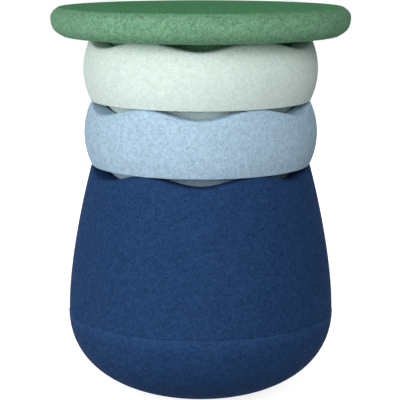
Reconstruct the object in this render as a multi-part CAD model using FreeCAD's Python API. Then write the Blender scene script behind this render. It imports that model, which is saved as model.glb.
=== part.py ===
import FreeCAD, Part
import math
import os

# Stack of moulded bead-foam play pieces, in millimetres.
# Origin: centre of the base's flat foot, on the floor. +Z is up, and -Y is the front.
# From the floor up: base bowl, base body, lower stone, upper stone, balance board.

# Nest: every crown drops into the wavy mouth of the piece below it
mouth_radius = 118.0
nest_clearance = 5.0
lip_depth = 14.0
lip_draw = 11.0
lip_overrun = 2.0
seat_gap = 0.3
wave_count = 6
wave_depth = 10.5
wave_points = 12
rim_outer_round = 4.0
rim_inner_round = 2.0
rim_overrun = 6.0
edge_tolerance = 0.01
crown_root_radius = mouth_radius - nest_clearance

# Stone: one shape for both, drawn rim up with z = 0 at the shoulder it stands on
stone_shoulder_width = 16.3
stone_bulge = 8.3
stone_belly_height = 36.3
stone_height = 75.0
stone_rim_draw = 13.0
stone_shoulder_round = 1.0
stone_crown_depth = 45.0
stone_crown_flat_radius = 56.0
stone_floor = 25.0
stone_hollow_floor_radius = 60.0

# Base: a rounded bowl below the seam and a tapering body above it
base_height = 273.0
base_belly_radius = 158.6
base_foot_radius = 50.0
base_seam_height = 97.5
base_seam_ledge = 0.6
base_ledge_round = 2.0
base_seam_groove = 0.8
base_rim_wall = 9.6
base_neck_lean = 0.277
base_wall = 28.0
base_floor = 30.0
base_hollow_floor_radius = 45.0
base_throat_round = 8.0
spigot_height = 16.0
spigot_wall = 13.0
spigot_clearance = 0.3

# Board: a thick disc with a softly bulging side and a shallow crown under it
board_radius = 175.0
board_thickness = 33.0
board_top_edge_width = 8.9
board_top_edge_depth = 12.0
board_under_edge_width = 13.9
board_edge_round = 2.0
board_crown_depth = 35.0
board_crown_flat_radius = 62.0

# Curve handles, as shares of the width and the height that a curve spans
bulge_end_out_share = 0.66
bulge_end_up_share = 0.31
bulge_belly_share = 0.35
crown_flat_share = 0.42
crown_root_in_share = 0.25
crown_root_down_share = 0.55
hollow_throat_share = 0.05
hollow_floor_share = 1.0
bowl_foot_share = 0.22
bowl_belly_share = 0.81
bowl_hollow_floor_share = 0.4
bowl_hollow_wall_share = 0.7
body_share = 0.29
under_out_share = 0.39
under_up_share = 0.176
under_belly_share = 0.74
top_out_share = 0.52
top_down_share = 0.24
top_belly_share = 0.485


def at(radius, height):
    """A point of a profile, drawn on the back half of the part's middle plane."""
    return FreeCAD.Vector(0, radius, height)


def line(start, end):
    return Part.LineSegment(at(*start), at(*end)).toShape()


def curve(*poles):
    """A smooth curve from its first pole to its last, pulled by the two between."""
    bezier = Part.BezierCurve()
    bezier.setPoles([at(*pole) for pole in poles])
    return bezier.toShape()


def turned(edges):
    """The solid that a closed profile makes when it turns once round the axis."""
    face = Part.Face(Part.Wire(edges))
    return face.revolve(FreeCAD.Vector(0, 0, 0), FreeCAD.Vector(0, 0, 1), 360)


def bulge(end, belly):
    """Side of a stone between one end and its belly, where the side is upright."""
    out = belly[0] - end[0]
    up = belly[1] - end[1]
    return curve(end,
                 (end[0] + bulge_end_out_share * out, end[1] + bulge_end_up_share * up),
                 (belly[0], belly[1] - bulge_belly_share * up),
                 belly)


def crown(flat_radius, depth):
    """Underside of a crown, from its flat out and up to its root at z = 0."""
    reach = crown_root_radius - flat_radius
    return curve((flat_radius, -depth),
                 (flat_radius + crown_flat_share * reach, -depth),
                 (crown_root_radius - crown_root_in_share * depth, -crown_root_down_share * depth),
                 (crown_root_radius, 0))


def lip(crest):
    """The two ends of the sloped seat inside a mouth: above the crest, and at the throat below."""
    top = (mouth_radius + lip_overrun * lip_draw / lip_depth, crest + lip_overrun)
    throat = (mouth_radius - lip_draw, crest - lip_depth)
    return top, throat


def circle_at(shape, radius, height):
    """The shape's round edge of this radius at this height."""
    for edge in shape.Edges:
        if not isinstance(edge.Curve, Part.Circle):
            continue
        offset = abs(edge.Curve.Radius - radius) + abs(edge.Curve.Center.z - height)
        if offset < edge_tolerance:
            return edge
    raise ValueError("no round edge at radius %g, height %g" % (radius, height))


def wave_line(radius, crest):
    """Closed line along the rim: it dips once a wave, and one dip is at the front."""
    points = []
    for step in range(wave_count * wave_points):
        turn = 2 * math.pi * step / (wave_count * wave_points)
        dip = wave_depth * (1 + math.cos(wave_count * (turn + math.pi))) / 2
        points.append(FreeCAD.Vector(radius * math.sin(turn), radius * math.cos(turn), crest - dip))
    spline = Part.BSplineCurve()
    spline.interpolate(points, PeriodicFlag=True)
    return spline.toShape()


def rim_edges(shape, crest, of_mouth):
    """The wavy edges of a rim, either those of its mouth or those of its outside."""
    found = []
    for edge in shape.Edges:
        box = edge.BoundBox
        wavy = box.ZMin > crest - wave_depth - rim_overrun and box.ZLength > wave_depth / 2
        if wavy and (box.XMax < mouth_radius + edge_tolerance) == of_mouth:
            found.append(edge)
    return found


def waved(blank, outer_radius, crest):
    """Cut a blank's top to the wavy rim, and round the rim's two edges."""
    inside = wave_line(mouth_radius / 2, crest)
    outside = wave_line(outer_radius + rim_overrun, crest)
    lift = FreeCAD.Vector(0, 0, wave_depth + 2 * rim_overrun)
    cut = blank.cut(Part.makeRuledSurface(inside, outside).extrude(lift))
    cut = cut.makeFillet(rim_outer_round, rim_edges(cut, crest, False))
    return cut.makeFillet(rim_inner_round, rim_edges(cut, crest, True))


def stone():
    """One stepping stone, rim up: a bulging ring over a nesting crown, hollow inside."""
    shoulder_radius = crown_root_radius + stone_shoulder_width
    belly = (shoulder_radius + stone_bulge, stone_belly_height)
    rim_top = (belly[0] - stone_rim_draw, stone_height + rim_overrun)
    floor_height = stone_floor - stone_crown_depth
    lip_top, throat = lip(stone_height)
    throat_handle = hollow_throat_share * (throat[1] - floor_height)
    hollow_reach = throat[0] - stone_hollow_floor_radius
    blank = turned([
        line((0, -stone_crown_depth), (stone_crown_flat_radius, -stone_crown_depth)),
        crown(stone_crown_flat_radius, stone_crown_depth),
        line((crown_root_radius, 0), (shoulder_radius, 0)),
        bulge((shoulder_radius, 0), belly),
        bulge(rim_top, belly),
        line(rim_top, lip_top),
        line(lip_top, throat),
        curve(throat,
              (throat[0] - throat_handle * lip_draw / lip_depth, throat[1] - throat_handle),
              (stone_hollow_floor_radius + hollow_floor_share * hollow_reach, floor_height),
              (stone_hollow_floor_radius, floor_height)),
        line((stone_hollow_floor_radius, floor_height), (0, floor_height)),
        line((0, floor_height), (0, -stone_crown_depth)),
    ])
    shaped = waved(blank, belly[0], stone_height)
    return shaped.makeFillet(stone_shoulder_round, [circle_at(shaped, shoulder_radius, 0)])


def base_bowl():
    """Lower shell of the base: foot, rounded underside, and a spigot above the seam."""
    reach = base_belly_radius - base_foot_radius
    inner_radius = base_belly_radius - base_wall
    inner_reach = inner_radius - base_hollow_floor_radius
    inner_rise = base_seam_height - base_floor
    spigot_radius = inner_radius + spigot_wall
    spigot_top = base_seam_height + spigot_height
    shell = turned([
        line((0, 0), (base_foot_radius, 0)),
        curve((base_foot_radius, 0),
              (base_foot_radius + bowl_foot_share * reach, 0),
              (base_belly_radius, base_seam_height - bowl_belly_share * base_seam_height),
              (base_belly_radius, base_seam_height)),
        line((base_belly_radius, base_seam_height), (spigot_radius, base_seam_height)),
        line((spigot_radius, base_seam_height), (spigot_radius, spigot_top)),
        line((spigot_radius, spigot_top), (inner_radius, spigot_top)),
        line((inner_radius, spigot_top), (inner_radius, base_seam_height)),
        curve((inner_radius, base_seam_height),
              (inner_radius, base_seam_height - bowl_hollow_wall_share * inner_rise),
              (base_hollow_floor_radius + bowl_hollow_floor_share * inner_reach, base_floor),
              (base_hollow_floor_radius, base_floor)),
        line((base_hollow_floor_radius, base_floor), (0, base_floor)),
        line((0, base_floor), (0, 0)),
    ])
    return shell.makeFillet(base_ledge_round, [circle_at(shell, base_belly_radius, base_seam_height)])


def base_body():
    """Upper shell of the base: it stands on the bowl round the spigot and narrows to the mouth."""
    seam_radius = base_belly_radius - base_seam_ledge
    inner_radius = base_belly_radius - base_wall
    socket_radius = inner_radius + spigot_wall + spigot_clearance
    socket_top = base_seam_height + spigot_height + spigot_clearance
    rim_top = (mouth_radius + base_rim_wall, base_height + rim_overrun)
    handle = body_share * (rim_top[1] - base_seam_height)
    lip_top, throat = lip(base_height)
    shell = turned([
        line((socket_radius, base_seam_height), (seam_radius, base_seam_height)),
        curve((seam_radius, base_seam_height),
              (seam_radius, base_seam_height + handle),
              (rim_top[0] + base_neck_lean * handle, rim_top[1] - handle),
              rim_top),
        line(rim_top, lip_top),
        line(lip_top, throat),
        curve(throat,
              (throat[0], throat[1] - handle),
              (inner_radius, socket_top + handle),
              (inner_radius, socket_top)),
        line((inner_radius, socket_top), (socket_radius, socket_top)),
        line((socket_radius, socket_top), (socket_radius, base_seam_height)),
    ])
    shaped = waved(shell, seam_radius, base_height)
    shaped = shaped.makeFillet(base_throat_round, [circle_at(shaped, *throat)])
    return shaped.makeChamfer(base_seam_groove, [circle_at(shaped, seam_radius, base_seam_height)])


def balance_board():
    """The board, drawn with z = 0 at its underside: a disc with a bulging side over a crown."""
    top_radius = board_radius - board_top_edge_width
    under_radius = board_radius - board_under_edge_width
    belly_height = board_thickness - board_top_edge_depth
    disc = turned([
        line((0, -board_crown_depth), (board_crown_flat_radius, -board_crown_depth)),
        crown(board_crown_flat_radius, board_crown_depth),
        line((crown_root_radius, 0), (under_radius, 0)),
        curve((under_radius, 0),
              (under_radius + under_out_share * board_under_edge_width, under_up_share * belly_height),
              (board_radius, belly_height - under_belly_share * belly_height),
              (board_radius, belly_height)),
        curve((board_radius, belly_height),
              (board_radius, belly_height + top_belly_share * board_top_edge_depth),
              (top_radius + top_out_share * board_top_edge_width,
               board_thickness - top_down_share * board_top_edge_depth),
              (top_radius, board_thickness)),
        line((top_radius, board_thickness), (0, board_thickness)),
        line((0, board_thickness), (0, -board_crown_depth)),
    ])
    corners = [circle_at(disc, under_radius, 0), circle_at(disc, top_radius, board_thickness)]
    return disc.makeFillet(board_edge_round, corners)


def raised(shape, height):
    return shape.translated(FreeCAD.Vector(0, 0, height))


def main():
    lower_seat = base_height + seat_gap
    upper_seat = lower_seat + stone_height + seat_gap
    board_seat = upper_seat + stone_height + seat_gap
    pieces = {
        "base_bowl": base_bowl(),
        "base_body": base_body(),
        "lower_stone": raised(stone(), lower_seat),
        "upper_stone": raised(stone(), upper_seat),
        "balance_board": raised(balance_board(), board_seat),
    }
    os.makedirs("parts", exist_ok=True)
    for name, piece in pieces.items():
        piece.exportStep(os.path.join("parts", name + ".step"))
        print(name, "solids", len(piece.Solids), "volume %.0f" % piece.Volume)


main()
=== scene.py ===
import math

import bmesh
import bpy
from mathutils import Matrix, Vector
from mathutils.geometry import interpolate_bezier


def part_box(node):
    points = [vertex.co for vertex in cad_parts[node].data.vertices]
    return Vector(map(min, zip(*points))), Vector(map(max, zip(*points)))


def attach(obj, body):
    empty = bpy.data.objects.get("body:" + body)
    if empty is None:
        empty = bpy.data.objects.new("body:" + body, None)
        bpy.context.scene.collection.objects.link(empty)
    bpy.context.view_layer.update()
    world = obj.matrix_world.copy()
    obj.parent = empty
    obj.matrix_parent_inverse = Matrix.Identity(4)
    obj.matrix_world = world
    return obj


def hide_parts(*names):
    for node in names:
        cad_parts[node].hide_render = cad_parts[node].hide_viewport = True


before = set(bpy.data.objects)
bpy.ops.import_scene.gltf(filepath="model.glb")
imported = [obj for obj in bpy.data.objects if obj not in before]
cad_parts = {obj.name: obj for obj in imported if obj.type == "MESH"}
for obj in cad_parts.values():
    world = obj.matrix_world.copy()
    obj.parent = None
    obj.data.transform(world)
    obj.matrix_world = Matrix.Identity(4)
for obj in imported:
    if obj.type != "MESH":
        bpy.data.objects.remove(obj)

bl_info = {
    "name": "Foam stepping stone stack",
    "version": (1, 0, 0),
    "blender": (4, 5, 0),
    "location": "View3D > Sidebar > Foam stack",
    "description": "Builds a stack of moulded bead-foam stepping stones with a base and a balance board",
    "category": "Add Mesh",
}

MM = 0.001

# Heights and radii of the pieces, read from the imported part
STONE_FOOT, STONE_CREST = (corner.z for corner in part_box("lower_stone"))
UPPER_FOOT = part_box("upper_stone")[0].z
BASE_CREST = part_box("base_body")[1].z
BOARD_FOOT, BOARD_TOP = (corner.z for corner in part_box("balance_board"))
BOARD_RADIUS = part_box("balance_board")[1].y
BELLY_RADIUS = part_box("base_bowl")[1].y
SEAM_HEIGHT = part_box("base_body")[0].z

# Curve handles, as shares of the width and the height that a curve spans
BULGE_END_OUT_SHARE = 0.66
BULGE_END_UP_SHARE = 0.31
BULGE_BELLY_SHARE = 0.35
CROWN_FLAT_SHARE = 0.42
CROWN_ROOT_IN_SHARE = 0.25
CROWN_ROOT_DOWN_SHARE = 0.55
HOLLOW_THROAT_SHARE = 0.05
HOLLOW_FLOOR_SHARE = 1.0
BOWL_FOOT_SHARE = 0.22
BOWL_BELLY_SHARE = 0.81
BOWL_HOLLOW_FLOOR_SHARE = 0.4
BOWL_HOLLOW_WALL_SHARE = 0.7
BODY_SHARE = 0.29
UNDER_OUT_SHARE = 0.39
UNDER_UP_SHARE = 0.176
UNDER_BELLY_SHARE = 0.74
TOP_OUT_SHARE = 0.52
TOP_DOWN_SHARE = 0.24
TOP_BELLY_SHARE = 0.485

# Steps of a full turn, of a curve and of a rounding, and the bevel profile that is an arc
TURN_STEPS = 192
CURVE_STEPS = 24
ROUND_STEPS = 5
ARC_PROFILE = 0.5

# An edge that turns more than this is sharp
SHARP_TURN = math.radians(35)

# A point this near to a ring lies on it, and points this near to each other are one
TOUCH = 0.01 * MM
WELD = 0.001 * MM

# Half the height of the fine ridge at a stone's belly, for each unit that it stands out
PARTING_LINE_SPREAD = 4.0

# How much the beads of each foam differ in tone
NAVY_GRAIN = 0.26
BLUE_GRAIN = 0.18
MINT_GRAIN = 0.09
GREEN_GRAIN = 0.28

# How far that grain darkens the darkest beads, lightens the lightest and whitens them
DARK_PER_GRAIN = 1.6
LIGHT_PER_GRAIN = 0.5
WHITE_PER_GRAIN = 0.5

# Widths of the foam's patterns in beads, and how many waves or pits each bead's width holds
SPECKLE_BEADS = 0.35
OPENNESS_BEADS = 1.6
CLOUD_BEADS = 9
PUSH_BEADS = 1.4
PUSH_WAVES_PER_BEAD = 0.7
PITS_PER_BEAD = 0.6
NOISE_DETAIL = 2.0
PUSH_DETAIL = 1.0

# Creases go from closed to open over this range of a soft noise, and from one width to another
CLOSED_UP_TO = 0.35
OPEN_FROM = 0.65
CLOSED_CREASE = 0.03
OPEN_CREASE = 0.2

# A pit's floor and edge, and the edge of a bead's dome, as distances in cells of their patterns
PIT_FLOOR = 0.1
PIT_EDGE = 0.22
DOME_EDGE = 0.3

# What each pattern adds to the foam's tone, or a pit takes from it as painted shade, and the sum's range
BEAD_TONE = 0.7
SPECKLE_TONE = 1.2
CLOUD_TONE = 0.3
PIT_SHADE = 0.9
TONE_LOW = -0.2
TONE_HIGH = 1.8

# What a bead and the speckle add to the relief, beside the dome's own height of 1
BEAD_RELIEF = 0.5
SPECKLE_RELIEF = 0.35

# The skin is matte, and its light beads are a little smoother than its dark ones
DARK_TONE = 0.2
LIGHT_TONE = 0.9
DARK_ROUGHNESS = 0.95
LIGHT_ROUGHNESS = 0.8
SKIN_SPECULAR = 0.06

# Rise of a face's direction at which the painted shade of the board's top face starts, and at which it is
# full
UP_STARTS = 0.8
UP_FULL = 0.98

# The camera, in pixels, metres and degrees, with its sensor in millimetres
SENSOR_WIDTH = 36.0
FRAME_PIXELS = 400
CAMERA_FOCAL_PIXELS = 1445.0
CAMERA_PITCH = 10.35
CAMERA_PLACE = (-0.0008, -1.70, 0.5375)

# The floor glows a little less near the part, where its shadow lies
FLOOR_RADIUS = 14.0
FLOOR_STEPS = 96
FLOOR_WHITE = 0.5
FLOOR_GLOW_NEAR = 0.85
FLOOR_GLOW_FAR = 1.0
FLOOR_NEAR = 0.2
FLOOR_FAR = 1.6

# Strength of the world's light from the side and from above, and the rise of its direction
# at which it is down to the second
WALL_LIGHT = 0.04
CEILING_LIGHT = 0.02
CEILING_RISE = 0.7

# The height that every lamp aims at, and its distance from there
AIM_HEIGHT = 0.25
LAMP_DISTANCE = 2.4

# Each lamp's name, turn from the front and rise in degrees, width in metres and power in watts
LAMPS = (
    ("key", -60, 12, 1.2, 30.0),
    ("front", 0, 20, 1.2, 28.0),
    ("high right", 30, 35, 1.2, 12.0),
    ("back left", -150, 15, 1.4, 22.0),
    ("back right", 160, 15, 1.4, 22.0),
)


def size(name, description, millimetres):
    """A length property, written in millimetres and kept in metres."""
    return bpy.props.FloatProperty(
        name=name, description=description, default=millimetres * MM, min=0.0, unit="LENGTH", precision=4)


def tint(name, description, red, green, blue):
    """A colour property, written as the 0 to 255 values that it shows on screen."""
    return bpy.props.FloatVectorProperty(
        name=name, description=description, default=tuple(map(screen_to_linear, (red, green, blue))),
        subtype="COLOR", size=3, min=0.0, max=1.0)


def screen_to_linear(level):
    """The light that a screen level of 0 to 255 stands for, by the sRGB curve."""
    share = level / 255
    return share / 12.92 if share <= 0.04045 else ((share + 0.055) / 1.055) ** 2.4


class NestSizes(bpy.types.PropertyGroup):
    """Sizes shared by every mouth and by the crown that drops into it."""
    mouth_radius: size("Mouth radius", "Inside radius of every wavy mouth", 118.0)
    nest_clearance: size("Nest clearance", "Gap between a crown's root and the mouth round it", 5.0)
    lip_depth: size("Lip depth", "Depth of the sloped seat inside each mouth", 14.0)
    lip_draw: size("Lip draw", "How far the sloped seat runs inwards", 11.0)
    lip_overrun: size(
        "Lip overrun", "How far the seat is drawn above the crest before the waves are made", 2.0)
    wave_depth: size("Wave depth", "Depth of each dip of the rim", 10.5)
    wave_count: bpy.props.IntProperty(
        name="Waves", description="Number of dips round a rim", default=6, min=3)
    rim_outer_round: size("Outer rim rounding", "Radius along the outer edge of a rim", 4.0)
    rim_inner_round: size("Inner rim rounding", "Radius along the edge of a mouth", 2.0)
    rim_overrun: size(
        "Rim overrun", "How far a rim's side is drawn above its crest before the waves are made", 6.0)


class StoneSizes(bpy.types.PropertyGroup):
    """Sizes of a stepping stone."""
    shoulder_width: size("Shoulder width", "Flat ring that a stone stands on, outside its crown", 16.3)
    bulge: size("Bulge", "How far the side swells past the shoulder", 8.3)
    belly_height: size("Belly height", "Height of the widest circle above the shoulder", 36.3)
    rim_draw: size("Rim draw", "How far the side draws in from belly to rim", 13.0)
    shoulder_round: size("Shoulder rounding", "Radius along the shoulder's edge", 1.0)
    crown_depth: size("Crown depth", "Depth of the crown below the shoulder", 45.0)
    crown_flat_radius: size("Crown flat radius", "Radius of the flat on the crown", 56.0)
    floor: size("Floor", "Thickness of the foam under the hollow", 25.0)
    hollow_floor_radius: size("Hollow floor radius", "Radius of the flat in the hollow", 60.0)
    parting_line: size(
        "Parting line", "Height of the fine ridge that the mould leaves round the belly", 0.15)


class BaseSizes(bpy.types.PropertyGroup):
    """Sizes of the base."""
    foot_radius: size("Foot radius", "Radius of the flat that the base stands on", 50.0)
    seam_ledge: size("Seam ledge", "How far the bowl stands proud of the body at the seam", 0.6)
    ledge_round: size("Ledge rounding", "Radius along the top edge of the bowl", 2.0)
    seam_groove: size("Seam groove", "Chamfer along the bottom edge of the body", 0.4)
    rim_wall: size("Rim wall", "Thickness of the wall at the top of the rim", 9.6)
    wall: size("Wall", "Thickness of the wall at the belly", 28.0)
    floor: size("Floor", "Thickness of the foam under the hollow", 30.0)
    hollow_floor_radius: size("Hollow floor radius", "Radius of the flat in the hollow", 45.0)
    throat_round: size("Throat rounding", "Radius along the narrowest circle of the mouth", 8.0)
    spigot_height: size("Spigot height", "Height of the bowl's lip inside the body", 16.0)
    spigot_wall: size("Spigot wall", "Thickness of the bowl's lip", 13.0)
    spigot_clearance: size("Spigot clearance", "Gap between the lip and the body", 0.3)
    neck_lean: bpy.props.FloatProperty(
        name="Neck lean", description="Inward run of the neck for each unit of its height", default=0.277)


class BoardSizes(bpy.types.PropertyGroup):
    """Sizes of the balance board."""
    top_edge_width: size("Top edge width", "How far the side draws in from its belly to the top", 8.9)
    top_edge_depth: size("Top edge depth", "Depth of the belly below the top", 12.0)
    under_edge_width: size(
        "Lower edge width", "How far the side draws in from its belly to the underside", 13.9)
    edge_round: size("Edge rounding", "Radius along the two edges of the side", 2.0)
    crown_depth: size("Crown depth", "Depth of the crown below the disc", 35.0)
    crown_flat_radius: size("Crown flat radius", "Radius of the flat on the crown", 62.0)


class FoamLook(bpy.types.PropertyGroup):
    """Colours and grain of the bead foam."""
    bead_size: size("Bead size", "Width of one foam bead on the skin", 3.0)
    crease_depth: size("Crease depth", "Depth of the skin's creases between beads", 0.25)
    navy: tint("Navy", "Foam of the base", 33, 65, 109)
    # The bowl's paler navy along the seam is partly its own paler tone and partly a painted highlight on
    # its ledge
    navy_seam_tone_and_highlight: tint("Navy edge", "Paler foam of the bowl, along the seam", 38, 73, 120)
    seam_fade: size("Seam fade", "Height over which the bowl's paler edge fades downwards", 20.0)
    light_blue: tint("Light blue", "Foam of the lower stone", 173, 202, 224)
    mint: tint("Mint", "Foam of the upper stone", 218, 234, 228)
    green: tint("Green", "Foam of the balance board", 115, 166, 131)
    # The board's top face gets a deeper green: painted shade, because the top takes less light than the
    # side
    shaded_top_green: tint("Green face", "Deeper green of the board's top face", 84, 158, 106)


def sizes(group):
    """One group of the stack's properties, by its short name."""
    return getattr(bpy.context.scene.foam_stack, group)


def curve(*poles):
    """Points of a smooth curve from its first pole to its last, pulled by the two between."""
    knots = [Vector((0, radius, height)) for radius, height in poles]
    return [(point.y, point.z) for point in interpolate_bezier(*knots, CURVE_STEPS + 1)]


def bulge(end, belly):
    """Side of a stone from one end to its belly, where the side is upright."""
    out = belly[0] - end[0]
    up = belly[1] - end[1]
    return curve(end,
                 (end[0] + BULGE_END_OUT_SHARE * out, end[1] + BULGE_END_UP_SHARE * up),
                 (belly[0], belly[1] - BULGE_BELLY_SHARE * up),
                 belly)


def crown(flat_radius, depth, root_height):
    """Underside of a crown, from its flat out and up to its root."""
    nest = sizes("nest")
    root_radius = nest.mouth_radius - nest.nest_clearance
    reach = root_radius - flat_radius
    return curve((flat_radius, root_height - depth),
                 (flat_radius + CROWN_FLAT_SHARE * reach, root_height - depth),
                 (root_radius - CROWN_ROOT_IN_SHARE * depth,
                  root_height - CROWN_ROOT_DOWN_SHARE * depth),
                 (root_radius, root_height))


def radius_at(points, height):
    """Radius of a side at a height, between the two points next to it, or of its nearer end."""
    ordered = sorted(points, key=lambda point: point[1])
    for low, high in zip(ordered, ordered[1:]):
        if low[1] <= height <= high[1] and high[1] > low[1]:
            share = (height - low[1]) / (high[1] - low[1])
            return low[0] + share * (high[0] - low[0])
    return ordered[0][0] if height < ordered[0][1] else ordered[-1][0]


def up_to(points, height, clear):
    """The stretch of a rising side below a height, ended at that height, with room for a rounding."""
    below = [point for point in points if point[1] < height - clear]
    return below + [(radius_at(points, height), height)]


def lip(crest):
    """The sloped seat inside a mouth, from its throat out and up past the crest."""
    nest = sizes("nest")
    return [(nest.mouth_radius - nest.lip_draw, crest - nest.lip_depth),
            (nest.mouth_radius + nest.lip_overrun * nest.lip_draw / nest.lip_depth,
             crest + nest.lip_overrun)]


def turned(outline):
    """A closed skin: the outline turned once round the upright axis."""
    mesh = bmesh.new()
    verts = [mesh.verts.new((0, radius, height)) for radius, height in outline]
    edges = [mesh.edges.new(pair) for pair in zip(verts, verts[1:])]
    if outline[0][0] > 0:
        edges.append(mesh.edges.new((verts[-1], verts[0])))
    bmesh.ops.spin(mesh, geom=verts + edges, cent=(0, 0, 0), axis=(0, 0, 1), angle=2 * math.pi,
                   steps=TURN_STEPS, use_merge=True)
    bmesh.ops.remove_doubles(mesh, verts=mesh.verts, dist=WELD)
    bmesh.ops.recalc_face_normals(mesh, faces=mesh.faces)
    return mesh


def wave(mesh, outside, crest, start):
    """Lower a rim into its dips, eased in from a height where the waves start.
    Each point slides down the side or the lip that it lies on."""
    nest = sizes("nest")
    throat = crest - nest.lip_depth
    seat = lip(crest)
    for vert in mesh.verts:
        height = vert.co.z
        radius = math.hypot(vert.co.x, vert.co.y)
        near_outside = radius > (radius_at(outside, height) + radius_at(seat, height)) / 2
        side, low = (outside, start) if near_outside else (seat, throat)
        if height <= low:
            continue
        rise = min(1.0, (height - low) / (crest - low))
        turn = math.atan2(vert.co.x, -vert.co.y)
        dip = nest.wave_depth * (1 + math.cos(nest.wave_count * turn)) / 2
        moved = height - dip * rise * rise * (3 - 2 * rise)
        scale = (radius + radius_at(side, moved) - radius_at(side, height)) / radius
        vert.co = (vert.co.x * scale, vert.co.y * scale, moved)


def round_edges(mesh, edges, radius):
    """Round sharp edges to a radius."""
    turn = max(edge.calc_face_angle() for edge in edges)
    bmesh.ops.bevel(mesh, geom=edges, offset=radius * math.tan(turn / 2), offset_type="OFFSET",
                    segments=ROUND_STEPS, profile=ARC_PROFILE, affect="EDGES", material=-1)


def ring(mesh, radius, height):
    """The edges of the ring at a radius and a height."""
    def lies_on(vert):
        return (abs(math.hypot(vert.co.x, vert.co.y) - radius) < TOUCH
                and abs(vert.co.z - height) < TOUCH)
    return [edge for edge in mesh.edges if all(map(lies_on, edge.verts))]


def round_rim(mesh, crest):
    """Round the outer edge of a wavy rim, and the edge of its mouth."""
    nest = sizes("nest")
    low = crest - nest.wave_depth - TOUCH
    sharp = [edge for edge in mesh.edges
             if all(vert.co.z > low for vert in edge.verts) and edge.calc_face_angle() > SHARP_TURN]
    mouth = [edge for edge in sharp
             if all(vert.co.xy.length < nest.mouth_radius + TOUCH for vert in edge.verts)]
    outside = [edge for edge in sharp if edge not in mouth]
    round_edges(mesh, mouth, nest.rim_inner_round)
    round_edges(mesh, outside, nest.rim_outer_round)


def piece(mesh, name, body, node, material):
    """Turn a finished skin into the piece that stands for a node of the part."""
    for edge in mesh.edges:
        edge.smooth = edge.calc_face_angle() < SHARP_TURN
    data = bpy.data.meshes.new(name)
    mesh.to_mesh(data)
    mesh.free()
    for face in data.polygons:
        face.use_smooth = True
    data.materials.append(material)
    made = bpy.data.objects.new(name, data)
    bpy.context.scene.collection.objects.link(made)
    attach(made, body)
    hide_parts(node)


def add(tree, kind, inputs=None, **settings):
    """A node with its settings, and its inputs given a value or fed from another node's output."""
    made = tree.nodes.new(kind)
    for key, value in settings.items():
        setattr(made, key, value)
    for key, value in (inputs or {}).items():
        if isinstance(value, bpy.types.NodeSocket):
            tree.links.new(value, made.inputs[key])
        else:
            made.inputs[key].default_value = value
    return made


def calculate(tree, operation, first, second):
    """A calculation on two values, either of which may be another node's output."""
    return add(tree, "ShaderNodeMath", {0: first, 1: second}, operation=operation).outputs["Value"]


def spread(tree, value, low, high, out_low, out_high, kind="SMOOTHSTEP"):
    """A value carried from one range to another, and held inside the second."""
    made = add(tree, "ShaderNodeMapRange", {
        "Value": value, "From Min": low, "From Max": high, "To Min": out_low, "To Max": out_high},
        interpolation_type=kind)
    return made.outputs["Result"]


def noise(tree, place, width):
    """Soft blotches of about a width, from 0 to 1."""
    made = add(tree, "ShaderNodeTexNoise", {
        "Vector": place, "Scale": 1 / width, "Detail": NOISE_DETAIL})
    return made.outputs["Fac"]


def uneven_place(tree, bead):
    """Places on the piece, and the same pushed about a little so that the beads aren't regular."""
    place = add(tree, "ShaderNodeTexCoord").outputs["Object"]
    push = add(tree, "ShaderNodeTexNoise", {
        "Vector": place, "Scale": PUSH_WAVES_PER_BEAD / bead, "Detail": PUSH_DETAIL})
    centred = add(tree, "ShaderNodeVectorMath", {0: push.outputs["Color"], 1: (0.5, 0.5, 0.5)},
                  operation="SUBTRACT")
    scaled = add(tree, "ShaderNodeVectorMath", {0: centred.outputs["Vector"], "Scale": PUSH_BEADS * bead},
                 operation="SCALE")
    moved = add(tree, "ShaderNodeVectorMath", {0: place, 1: scaled.outputs["Vector"]},
                operation="ADD")
    return place, moved.outputs["Vector"]


def top_shade_mask(tree):
    """1 where the foam faces straight up, and 0 on its sides. It lays the board's painted top shade."""
    normal = add(tree, "ShaderNodeTexCoord").outputs["Normal"]
    rise = add(tree, "ShaderNodeSeparateXYZ", {"Vector": normal}).outputs["Z"]
    return spread(tree, rise, UP_STARTS, UP_FULL, 0.0, 1.0)


def seam_tone_and_highlight_mask(tree):
    """1 at the seam, fading to 0 below it, over the bowl's paler tone and painted highlight."""
    place = add(tree, "ShaderNodeTexCoord").outputs["Object"]
    height = add(tree, "ShaderNodeSeparateXYZ", {"Vector": place}).outputs["Z"]
    return spread(tree, height, SEAM_HEIGHT - sizes("look").seam_fade, SEAM_HEIGHT, 0.0, 1.0)


def mix(tree, share, first, second):
    """A colour between two, either of which may be another node's output."""
    made = add(tree, "ShaderNodeMix", {"Factor": share, "A": first, "B": second}, data_type="RGBA")
    return made.outputs["Result"]


def beads(tree, tone, color, grain):
    """The foam's colour, from its dark beads to its light ones, which are whiter too."""
    white = WHITE_PER_GRAIN * grain * sum(color) / len(color)
    dark = [channel * (1 - DARK_PER_GRAIN * grain) for channel in color]
    light = [min(1.0, channel * (1 + LIGHT_PER_GRAIN * grain) + white) for channel in color]
    return mix(tree, tone, (*dark, 1), (*light, 1))


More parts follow.
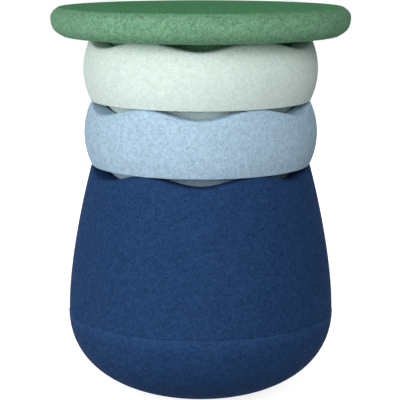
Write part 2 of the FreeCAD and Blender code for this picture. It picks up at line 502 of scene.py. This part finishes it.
def foam(name, color, grain, other=None, where=None):
    """Moulded bead foam: beads of uneven tone and height, creases and pits between them with painted shade,
    a matte skin.
    Another colour may take over where the foam faces up, as painted shade, or along the seam, as a paler
    tone with a painted highlight."""
    look = sizes("look")
    bead = look.bead_size
    material = bpy.data.materials.new(name)
    material.use_nodes = True
    tree = material.node_tree
    tree.nodes.clear()
    place, moved = uneven_place(tree, bead)

    cells = add(tree, "ShaderNodeTexVoronoi", {"Vector": moved, "Scale": 1 / bead}, feature="F1")
    edges = add(tree, "ShaderNodeTexVoronoi", {"Vector": moved, "Scale": 1 / bead},
                feature="DISTANCE_TO_EDGE")
    pits = add(tree, "ShaderNodeTexVoronoi", {"Vector": place, "Scale": PITS_PER_BEAD / bead}, feature="F1")
    own = add(tree, "ShaderNodeSeparateColor", {"Color": cells.outputs["Color"]})
    speckle = noise(tree, place, SPECKLE_BEADS * bead)
    openness = noise(tree, place, OPENNESS_BEADS * bead)
    clouds = noise(tree, place, CLOUD_BEADS * bead)

    width = spread(tree, openness, CLOSED_UP_TO, OPEN_FROM, CLOSED_CREASE, OPEN_CREASE)
    crease = calculate(tree, "DIVIDE", edges.outputs["Distance"], width)
    crease = spread(tree, crease, 0.0, 1.0, 1.0, 0.0)
    pit = spread(tree, pits.outputs["Distance"], PIT_FLOOR, PIT_EDGE, 1.0, 0.0)

    tone = calculate(tree, "MULTIPLY", own.outputs["Red"], BEAD_TONE)
    tone = calculate(tree, "ADD", tone, calculate(tree, "MULTIPLY", speckle, SPECKLE_TONE))
    tone = calculate(tree, "ADD", tone, calculate(tree, "MULTIPLY", clouds, CLOUD_TONE))
    # Creases and pits between the beads are darkened: painted shade in these small hollows
    tone = calculate(tree, "SUBTRACT", tone, crease)
    tone = calculate(tree, "SUBTRACT", tone, calculate(tree, "MULTIPLY", pit, PIT_SHADE))
    tone = spread(tree, tone, TONE_LOW, TONE_HIGH, 0.0, 1.0, kind="LINEAR")
    skin = beads(tree, tone, color, grain)
    # The other colour is painted shade on the board's top, or the bowl's paler tone with a painted
    # highlight at the seam
    if other:
        skin = mix(tree, where(tree), skin, beads(tree, tone, other, grain))

    height = spread(tree, edges.outputs["Distance"], 0.0, DOME_EDGE, 0.0, 1.0)
    height = calculate(tree, "ADD", height, calculate(tree, "MULTIPLY", own.outputs["Green"], BEAD_RELIEF))
    height = calculate(tree, "ADD", height, calculate(tree, "MULTIPLY", speckle, SPECKLE_RELIEF))
    height = calculate(tree, "SUBTRACT", height, pit)
    relief = add(tree, "ShaderNodeBump", {
        "Height": height, "Strength": 1.0, "Distance": look.crease_depth})
    roughness = spread(tree, tone, DARK_TONE, LIGHT_TONE, DARK_ROUGHNESS, LIGHT_ROUGHNESS, kind="LINEAR")
    shader = add(tree, "ShaderNodeBsdfPrincipled", {
        "Base Color": skin, "Roughness": roughness, "Specular IOR Level": SKIN_SPECULAR,
        "Normal": relief.outputs["Normal"]})
    add(tree, "ShaderNodeOutputMaterial", {"Surface": shader.outputs["BSDF"]})
    return material


class FOAM_OT_base_bowl(bpy.types.Operator):
    """Add the lower shell of the base, with its rounded underside and spigot"""
    bl_idname = "foam_stack.base_bowl"
    bl_label = "Base bowl"

    def execute(self, context):
        base = sizes("base")
        reach = BELLY_RADIUS - base.foot_radius
        inner = BELLY_RADIUS - base.wall
        inner_reach = inner - base.hollow_floor_radius
        inner_rise = SEAM_HEIGHT - base.floor
        spigot = inner + base.spigot_wall
        spigot_top = SEAM_HEIGHT + base.spigot_height
        outline = [(0, 0)]
        outline += curve((base.foot_radius, 0),
                         (base.foot_radius + BOWL_FOOT_SHARE * reach, 0),
                         (BELLY_RADIUS, SEAM_HEIGHT - BOWL_BELLY_SHARE * SEAM_HEIGHT),
                         (BELLY_RADIUS, SEAM_HEIGHT))
        outline += [(spigot, SEAM_HEIGHT), (spigot, spigot_top), (inner, spigot_top)]
        outline += curve((inner, SEAM_HEIGHT),
                         (inner, SEAM_HEIGHT - BOWL_HOLLOW_WALL_SHARE * inner_rise),
                         (base.hollow_floor_radius + BOWL_HOLLOW_FLOOR_SHARE * inner_reach, base.floor),
                         (base.hollow_floor_radius, base.floor))
        outline += [(0, base.floor)]
        mesh = turned(outline)
        round_edges(mesh, ring(mesh, BELLY_RADIUS, SEAM_HEIGHT), base.ledge_round)
        look = sizes("look")
        # The bowl's foam is paler along the seam: its own paler tone together with a painted highlight
        piece(mesh, "base_bowl_foam", "base", "base_bowl",
              foam("navy bowl foam", look.navy, NAVY_GRAIN, look.navy_seam_tone_and_highlight, seam_tone_and_highlight_mask))
        return {"FINISHED"}


class FOAM_OT_base_body(bpy.types.Operator):
    """Add the upper shell of the base, up to its wavy mouth"""
    bl_idname = "foam_stack.base_body"
    bl_label = "Base body"

    def execute(self, context):
        base = sizes("base")
        nest = sizes("nest")
        seam_radius = BELLY_RADIUS - base.seam_ledge
        inner = BELLY_RADIUS - base.wall
        socket = inner + base.spigot_wall + base.spigot_clearance
        socket_top = SEAM_HEIGHT + base.spigot_height + base.spigot_clearance
        blank_top = BASE_CREST + nest.rim_overrun
        rim_radius = nest.mouth_radius + base.rim_wall
        handle = BODY_SHARE * (blank_top - SEAM_HEIGHT)
        outside = curve((seam_radius, SEAM_HEIGHT),
                        (seam_radius, SEAM_HEIGHT + handle),
                        (rim_radius + base.neck_lean * handle, blank_top - handle),
                        (rim_radius, blank_top))
        seat = lip(BASE_CREST)
        throat = seat[0]
        inside = curve((inner, socket_top),
                       (inner, socket_top + handle),
                       (throat[0], throat[1] - handle),
                       throat)
        inside = [point for point in inside if point[1] < throat[1] - base.throat_round] + [throat]
        outline = [(seam_radius - base.seam_groove, SEAM_HEIGHT),
                   (seam_radius, SEAM_HEIGHT + base.seam_groove)]
        outline += [point for point in up_to(outside, BASE_CREST, nest.rim_outer_round)
                    if point[1] > SEAM_HEIGHT + base.seam_groove]
        outline += reversed(inside[:-1] + up_to(seat, BASE_CREST, nest.rim_inner_round))
        outline += [(socket, socket_top), (socket, SEAM_HEIGHT)]
        mesh = turned(outline)
        # The base's neck waves over as much of its height as a stone's side does
        wave(mesh, outside, BASE_CREST, BASE_CREST - sizes("stone").belly_height)
        round_rim(mesh, BASE_CREST)
        round_edges(mesh, ring(mesh, *throat), base.throat_round)
        piece(mesh, "base_body_foam", "base", "base_body",
              foam("navy body foam", sizes("look").navy, NAVY_GRAIN))
        return {"FINISHED"}


def stone_mesh(foot, crest):
    """One stepping stone, rim up: a bulging ring over a nesting crown, hollow inside."""
    nest = sizes("nest")
    stone = sizes("stone")
    shoulder = foot + stone.crown_depth
    shoulder_radius = nest.mouth_radius - nest.nest_clearance + stone.shoulder_width
    belly = (shoulder_radius + stone.bulge, shoulder + stone.belly_height)
    blank_top = crest + nest.rim_overrun
    floor = foot + stone.floor
    lower_side = bulge((shoulder_radius, shoulder), belly)
    upper_side = bulge((belly[0] - stone.rim_draw, blank_top), belly)[::-1]
    seat = lip(crest)
    throat = seat[0]
    throat_handle = HOLLOW_THROAT_SHARE * (throat[1] - floor)
    hollow_reach = throat[0] - stone.hollow_floor_radius
    inside = curve((stone.hollow_floor_radius, floor),
                   (stone.hollow_floor_radius + HOLLOW_FLOOR_SHARE * hollow_reach, floor),
                   (throat[0] - throat_handle * nest.lip_draw / nest.lip_depth, throat[1] - throat_handle),
                   throat)
    line_half = PARTING_LINE_SPREAD * stone.parting_line
    outline = [(0, foot)]
    outline += crown(stone.crown_flat_radius, stone.crown_depth, shoulder)
    outline += [point for point in lower_side if point[1] < belly[1] - line_half]
    outline += [(belly[0], belly[1] - line_half),
                (belly[0] + stone.parting_line, belly[1]),
                (belly[0], belly[1] + line_half)]
    outline += [point for point in up_to(upper_side, crest, nest.rim_outer_round)
                if point[1] > belly[1] + line_half]
    outline += reversed(inside[:-1] + up_to(seat, crest, nest.rim_inner_round))
    outline += [(0, floor)]
    mesh = turned(outline)
    wave(mesh, upper_side, crest, belly[1] + line_half)
    round_rim(mesh, crest)
    round_edges(mesh, ring(mesh, shoulder_radius, shoulder), stone.shoulder_round)
    return mesh


class FOAM_OT_stones(bpy.types.Operator):
    """Add the two stepping stones"""
    bl_idname = "foam_stack.stones"
    bl_label = "Stepping stones"

    def execute(self, context):
        look = sizes("look")
        lower = stone_mesh(STONE_FOOT, STONE_CREST)
        piece(lower, "lower_stone_foam", "lower_stone", "lower_stone",
              foam("light blue foam", look.light_blue, BLUE_GRAIN))
        upper = stone_mesh(UPPER_FOOT, UPPER_FOOT + STONE_CREST - STONE_FOOT)
        piece(upper, "upper_stone_foam", "upper_stone", "upper_stone",
              foam("mint foam", look.mint, MINT_GRAIN))
        return {"FINISHED"}


class FOAM_OT_board(bpy.types.Operator):
    """Add the balance board"""
    bl_idname = "foam_stack.board"
    bl_label = "Balance board"

    def execute(self, context):
        board = sizes("board")
        underside = BOARD_FOOT + board.crown_depth
        top_radius = BOARD_RADIUS - board.top_edge_width
        under_radius = BOARD_RADIUS - board.under_edge_width
        belly = BOARD_TOP - board.top_edge_depth
        rise = belly - underside
        outline = [(0, BOARD_FOOT)]
        outline += crown(board.crown_flat_radius, board.crown_depth, underside)
        outline += curve((under_radius, underside),
                         (under_radius + UNDER_OUT_SHARE * board.under_edge_width,
                          underside + UNDER_UP_SHARE * rise),
                         (BOARD_RADIUS, belly - UNDER_BELLY_SHARE * rise),
                         (BOARD_RADIUS, belly))
        outline += curve((BOARD_RADIUS, belly),
                         (BOARD_RADIUS, belly + TOP_BELLY_SHARE * board.top_edge_depth),
                         (top_radius + TOP_OUT_SHARE * board.top_edge_width,
                          BOARD_TOP - TOP_DOWN_SHARE * board.top_edge_depth),
                         (top_radius, BOARD_TOP))[1:]
        outline += [(0, BOARD_TOP)]
        mesh = turned(outline)
        for edges in (ring(mesh, under_radius, underside), ring(mesh, top_radius, BOARD_TOP)):
            round_edges(mesh, edges, board.edge_round)
        look = sizes("look")
        piece(mesh, "balance_board_foam", "board", "balance_board",
              foam("green foam", look.green, GREEN_GRAIN, look.shaded_top_green, top_shade_mask))
        return {"FINISHED"}


def seen(tree):
    """1 for a ray that the camera, a gloss or a clear thing sends out, and 0 for the rest."""
    rays = add(tree, "ShaderNodeLightPath").outputs
    glossy_or_clear = calculate(tree, "MAXIMUM", rays["Is Glossy Ray"], rays["Is Transmission Ray"])
    return calculate(tree, "MAXIMUM", rays["Is Camera Ray"], glossy_or_clear)


def add_floor():
    """A round floor that glows white where it is seen, and keeps the part's shadow."""
    mesh = bmesh.new()
    bmesh.ops.create_circle(mesh, cap_ends=True, segments=FLOOR_STEPS, radius=FLOOR_RADIUS)
    data = bpy.data.meshes.new("floor")
    mesh.to_mesh(data)
    mesh.free()
    floor = bpy.data.objects.new("floor", data)
    bpy.context.scene.collection.objects.link(floor)
    material = bpy.data.materials.new("floor")
    material.use_nodes = True
    tree = material.node_tree
    tree.nodes.clear()
    place = add(tree, "ShaderNodeTexCoord").outputs["Object"]
    away = add(tree, "ShaderNodeVectorMath", {0: place}, operation="LENGTH").outputs["Value"]
    glow = spread(tree, away, FLOOR_NEAR, FLOOR_FAR, FLOOR_GLOW_NEAR, FLOOR_GLOW_FAR)
    glow = calculate(tree, "MULTIPLY", glow, seen(tree))
    shader = add(tree, "ShaderNodeBsdfPrincipled", {
        "Base Color": (FLOOR_WHITE, FLOOR_WHITE, FLOOR_WHITE, 1), "Roughness": 1.0,
        "Specular IOR Level": 0.0, "Emission Color": (1, 1, 1, 1), "Emission Strength": glow})
    add(tree, "ShaderNodeOutputMaterial", {"Surface": shader.outputs["BSDF"]})
    data.materials.append(material)


def add_world():
    """White where it is seen. It lights the part softly from all round, and less from above."""
    world = bpy.data.worlds.new("studio")
    bpy.context.scene.world = world
    world.use_nodes = True
    tree = world.node_tree
    tree.nodes.clear()
    way = add(tree, "ShaderNodeTexCoord").outputs["Generated"]
    rise = add(tree, "ShaderNodeSeparateXYZ", {"Vector": way}).outputs["Z"]
    light = spread(tree, rise, 0.0, CEILING_RISE, WALL_LIGHT, CEILING_LIGHT, kind="LINEAR")
    strength = add(tree, "ShaderNodeMix", {"Factor": seen(tree), "A": light, "B": 1.0})
    background = add(tree, "ShaderNodeBackground", {
        "Color": (1, 1, 1, 1), "Strength": strength.outputs["Result"]})
    add(tree, "ShaderNodeOutputWorld", {"Surface": background.outputs["Background"]})


def add_lamp(name, turn, rise, width, power):
    """A round lamp, aimed at the part. It shows neither in the view nor in the foam's faint gloss."""
    lamp = bpy.data.lights.new(name, "AREA")
    lamp.shape = "DISK"
    lamp.size = width
    lamp.energy = power
    turn = math.radians(turn)
    rise = math.radians(rise)
    towards = Vector((math.sin(turn) * math.cos(rise), -math.cos(turn) * math.cos(rise), math.sin(rise)))
    holder = bpy.data.objects.new(name, lamp)
    holder.location = Vector((0, 0, AIM_HEIGHT)) + LAMP_DISTANCE * towards
    holder.rotation_euler = towards.to_track_quat("Z", "Y").to_euler()
    holder.visible_camera = False
    holder.visible_glossy = False
    bpy.context.scene.collection.objects.link(holder)


class FOAM_OT_stage(bpy.types.Operator):
    """Set the white floor, the soft light and the camera"""
    bl_idname = "foam_stack.stage"
    bl_label = "Stage"

    def execute(self, context):
        scene = context.scene
        scene.view_settings.view_transform = "Standard"
        camera = bpy.data.cameras.new("camera")
        camera.sensor_width = SENSOR_WIDTH
        camera.lens = CAMERA_FOCAL_PIXELS / FRAME_PIXELS * camera.sensor_width
        holder = bpy.data.objects.new("camera", camera)
        holder.location = CAMERA_PLACE
        holder.rotation_euler = (math.radians(90 - CAMERA_PITCH), 0, 0)
        scene.collection.objects.link(holder)
        scene.camera = holder
        add_floor()
        add_world()
        for lamp in LAMPS:
            add_lamp(*lamp)
        return {"FINISHED"}


class FoamStack(bpy.types.PropertyGroup):
    """Everything that a user may change."""
    nest: bpy.props.PointerProperty(type=NestSizes)
    stone: bpy.props.PointerProperty(type=StoneSizes)
    base: bpy.props.PointerProperty(type=BaseSizes)
    board: bpy.props.PointerProperty(type=BoardSizes)
    look: bpy.props.PointerProperty(type=FoamLook)


class FOAM_PT_stack(bpy.types.Panel):
    """Sizes, colours and steps of the stack"""
    bl_label = "Foam stack"
    bl_idname = "FOAM_PT_stack"
    bl_space_type = "VIEW_3D"
    bl_region_type = "UI"
    bl_category = "Foam stack"

    def draw(self, context):
        for group in ("nest", "stone", "base", "board", "look"):
            box = self.layout.box()
            for key in sizes(group).__annotations__:
                box.prop(sizes(group), key)
        for step in STEPS:
            self.layout.operator(step.bl_idname)


GROUPS = (NestSizes, StoneSizes, BaseSizes, BoardSizes, FoamLook, FoamStack)
STEPS = (FOAM_OT_base_bowl, FOAM_OT_base_body, FOAM_OT_stones, FOAM_OT_board, FOAM_OT_stage)


def register():
    for kind in (*GROUPS, *STEPS, FOAM_PT_stack):
        bpy.utils.register_class(kind)
    bpy.types.Scene.foam_stack = bpy.props.PointerProperty(type=FoamStack)


def unregister():
    del bpy.types.Scene.foam_stack
    for kind in reversed((*GROUPS, *STEPS, FOAM_PT_stack)):
        bpy.utils.unregister_class(kind)


def main():
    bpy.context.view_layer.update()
    register()
    bpy.ops.foam_stack.base_bowl()
    bpy.ops.foam_stack.base_body()
    bpy.ops.foam_stack.stones()
    bpy.ops.foam_stack.board()
    bpy.ops.foam_stack.stage()


if __name__ == "__main__":
    main()
